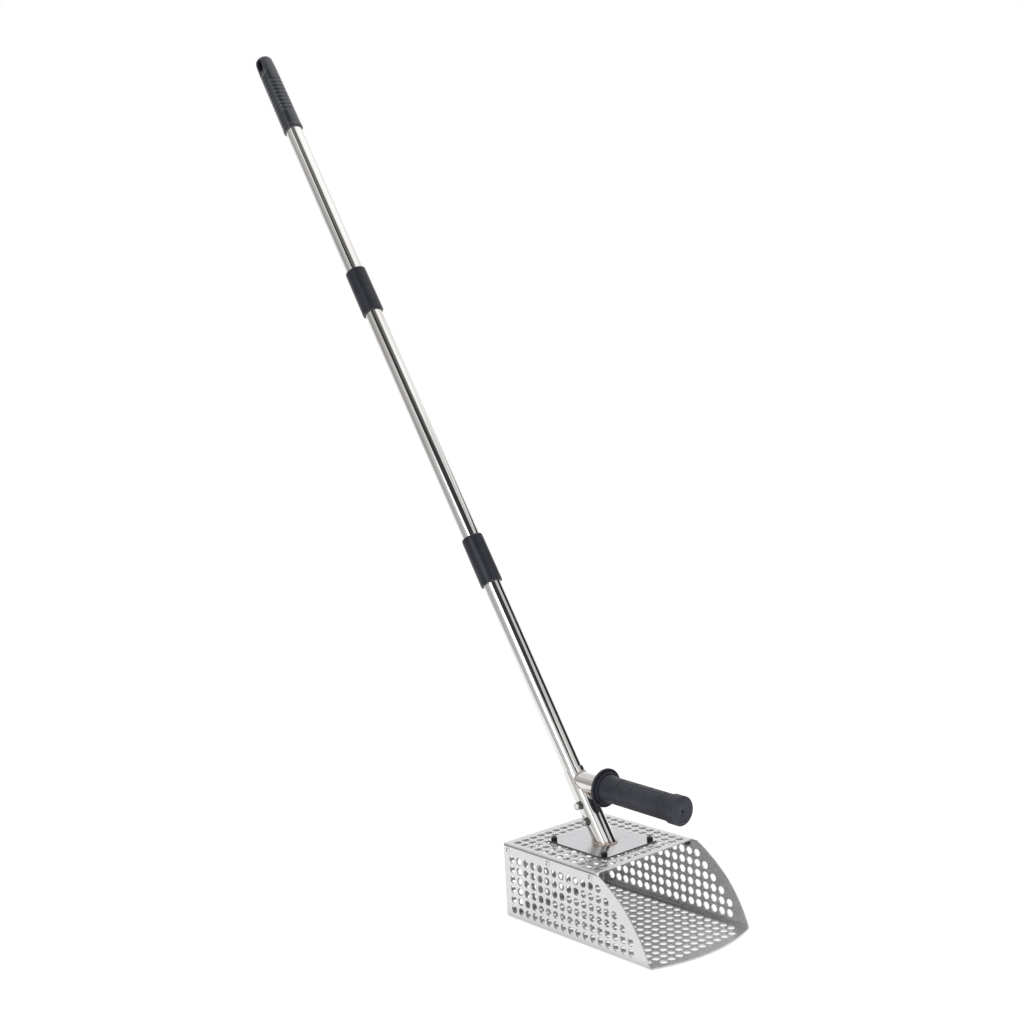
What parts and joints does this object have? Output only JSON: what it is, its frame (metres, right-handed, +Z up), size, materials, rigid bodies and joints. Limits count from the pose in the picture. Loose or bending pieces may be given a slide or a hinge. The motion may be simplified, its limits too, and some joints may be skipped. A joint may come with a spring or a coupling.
{
  "type": "beach sand scoop",
  "caption": "Long-handled beach sand scoop: perforated folded scoop with curved mouth, leaning socket, forward cross handle with rubber grip and a screwed sectional pole.",
  "frame": {"origin": "on the underside of the scoop floor, mid-width, almost below the point where the pole meets the cover", "axes": "+X out of the mouth, +Z up with the floor level, +Y to the left of the mouth"},
  "size_m": [0.7771, 0.1608, 1.0521],
  "materials": {
    "perforated_sheet": "satin",
    "plate_steel": "brushed",
    "polished_tube": "polished",
    "weld_metal": "as welded",
    "rivet_metal": "satin",
    "black_oxide_steel": "black oxide",
    "bright_hardware": "bright",
    "black_rubber": "matte",
    "black_plastic": "moulded",
    "thread_plastic": "moulded",
    "nylon_washer": "natural"
  },
  "bodies": {
    "scoop": {"scoop_floor": "perforated_sheet", "scoop_side_left": "perforated_sheet", "scoop_side_right": "perforated_sheet", "scoop_rear": "perforated_sheet", "top_cover": "perforated_sheet", "mount_plate": "plate_steel", "socket_tube": "polished_tube", "grip_stub": "polished_tube", "socket_weld_bead": "weld_metal", "stub_weld_bead": "weld_metal", "side_rivets_left": "rivet_metal", "side_rivets_right": "rivet_metal", "plate_screws": "black_oxide_steel", "plate_washers": "bright_hardware", "plate_nuts": "bright_hardware", "clamp_nuts": "bright_hardware", "front_grip": "black_rubber"},
    "pole_lower": {"lower_pole_tube": "polished_tube", "lower_thread_plug": "thread_plastic"},
    "middle_joint_washer": {"middle_thrust_washer": "nylon_washer"},
    "pole_middle": {"middle_pole_tube": "polished_tube", "middle_collar": "black_plastic", "middle_thread_insert": "thread_plastic", "middle_thread_plug": "thread_plastic"},
    "upper_joint_washer": {"upper_thrust_washer": "nylon_washer"},
    "pole_upper": {"upper_pole_tube": "polished_tube", "upper_collar": "black_plastic", "upper_thread_insert": "thread_plastic", "top_grip": "black_plastic"},
    "lower_bolt_washer": {"clamp_washer_lower": "bright_hardware"},
    "lower_clamp_bolt": {"clamp_bolt_lower": "bright_hardware"},
    "upper_bolt_washer": {"clamp_washer_upper": "bright_hardware"},
    "upper_clamp_bolt": {"clamp_bolt_upper": "bright_hardware"}
  },
  "joints": [
    {"name": "pole_release", "type": "slide", "parent": "scoop", "child": "pole_lower", "axis": [-0.5358, 0, 0.8443], "range_m": [0, 0.08]},
    {"name": "middle_unscrew", "type": "hinge", "parent": "pole_lower", "child": "middle_joint_washer", "pos_m": [-0.19522, 0, 0.39956], "axis": [-0.5358, 0, 0.8443], "range_deg": [0, 2160]},
    {"name": "middle_lift", "type": "slide", "parent": "middle_joint_washer", "child": "pole_middle", "axis": [-0.5358, 0, 0.8443], "range_m": [0, 0.024]},
    {"name": "upper_unscrew", "type": "hinge", "parent": "pole_middle", "child": "upper_joint_washer", "pos_m": [-0.405, 0, 0.73011], "axis": [-0.5358, 0, 0.8443], "range_deg": [0, 2160]},
    {"name": "upper_lift", "type": "slide", "parent": "upper_joint_washer", "child": "pole_upper", "axis": [-0.5358, 0, 0.8443], "range_m": [0, 0.024]},
    {"name": "lower_bolt_advance", "type": "slide", "parent": "scoop", "child": "lower_bolt_washer", "axis": [0, -1, 0], "range_m": [0, 0.004]},
    {"name": "lower_bolt_turn", "type": "hinge", "parent": "lower_bolt_washer", "child": "lower_clamp_bolt", "pos_m": [-0.01358, -0.0148, 0.11333], "axis": [0, -1, 0], "range_deg": [0, 1800.1]},
    {"name": "upper_bolt_advance", "type": "slide", "parent": "scoop", "child": "upper_bolt_washer", "axis": [0, -1, 0], "range_m": [0, 0.004]},
    {"name": "upper_bolt_turn", "type": "hinge", "parent": "upper_bolt_washer", "child": "upper_clamp_bolt", "pos_m": [-0.02429, -0.0148, 0.13022], "axis": [0, -1, 0], "range_deg": [0, 1800.1]}
  ],
  "couplings": [
    {"joint": "middle_lift", "follows": "middle_unscrew", "m_per_rad": 0.00063662},
    {"joint": "upper_lift", "follows": "upper_unscrew", "m_per_rad": 0.00063662},
    {"joint": "lower_bolt_turn", "follows": "lower_bolt_advance", "rad_per_m": 7854},
    {"joint": "upper_bolt_turn", "follows": "upper_bolt_advance", "rad_per_m": 7854}
  ]
}
